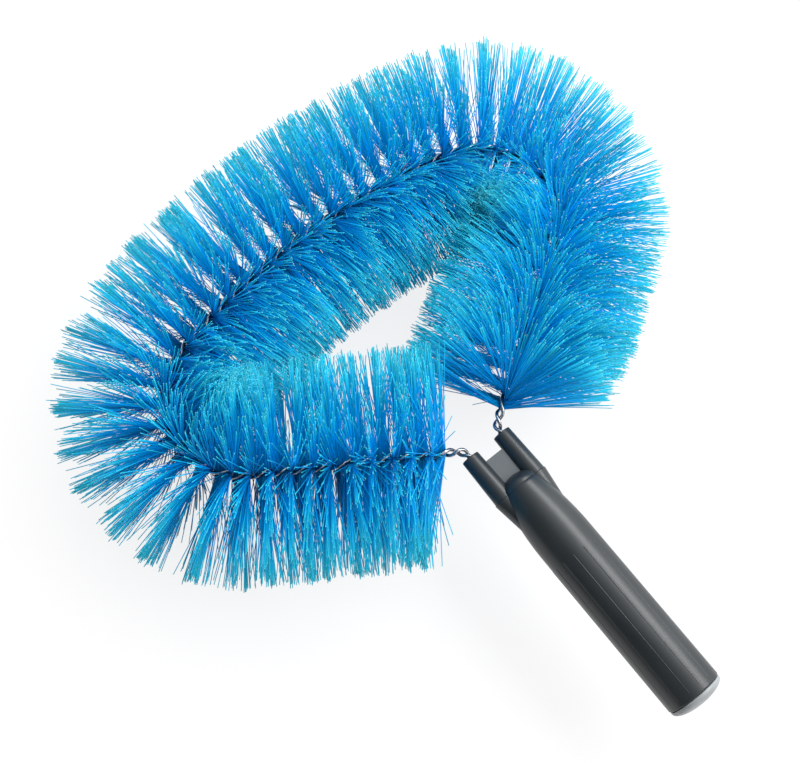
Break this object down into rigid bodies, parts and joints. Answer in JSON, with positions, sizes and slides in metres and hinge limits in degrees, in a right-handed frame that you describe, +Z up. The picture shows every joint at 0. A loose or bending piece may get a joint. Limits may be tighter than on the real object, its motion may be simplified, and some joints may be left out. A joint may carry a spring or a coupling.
{
  "type": "dusting brush",
  "caption": "Loop of twisted wire with blue bristles all round it, held by both ends in a moulded twin socket handle with an end plug.",
  "frame": {"origin": "middle of the brush's bounding box, on the surface that it lies on", "axes": "+Y along the handle towards the loop, +X across the handle, +Z up, square to the plane of the loop"},
  "size_m": [0.3354, 0.347, 0.1065],
  "materials": {
    "handle_plastic": "satin dark grey, slightly see-through moulding",
    "plug_plastic": "satin light grey moulding",
    "wire_steel": "bright galvanised wire",
    "bristle_fibre": "bright blue synthetic filament"
  },
  "bodies": {
    "brush": {"socket_handle": "handle_plastic", "wire_a": "wire_steel", "wire_b": "wire_steel", "bristles_01": "bristle_fibre", "bristles_02": "bristle_fibre", "bristles_03": "bristle_fibre", "bristles_04": "bristle_fibre", "bristles_05": "bristle_fibre", "bristles_06": "bristle_fibre", "bristles_07": "bristle_fibre", "bristles_08": "bristle_fibre", "bristles_09": "bristle_fibre", "bristles_10": "bristle_fibre", "bristles_11": "bristle_fibre", "bristles_12": "bristle_fibre", "bristles_13": "bristle_fibre", "bristles_14": "bristle_fibre", "bristles_15": "bristle_fibre", "bristles_16": "bristle_fibre", "bristles_17": "bristle_fibre", "bristles_18": "bristle_fibre", "bristles_19": "bristle_fibre", "bristles_20": "bristle_fibre", "bristles_21": "bristle_fibre", "bristles_22": "bristle_fibre", "bristles_23": "bristle_fibre", "bristles_24": "bristle_fibre", "bristles_25": "bristle_fibre"},
    "plug": {"end_plug": "plug_plastic"}
  },
  "joints": [
    {"name": "plug_pull", "type": "slide", "parent": "brush", "child": "plug", "axis": [0, -1, 0], "range_m": [0, 0.02]}
  ]
}
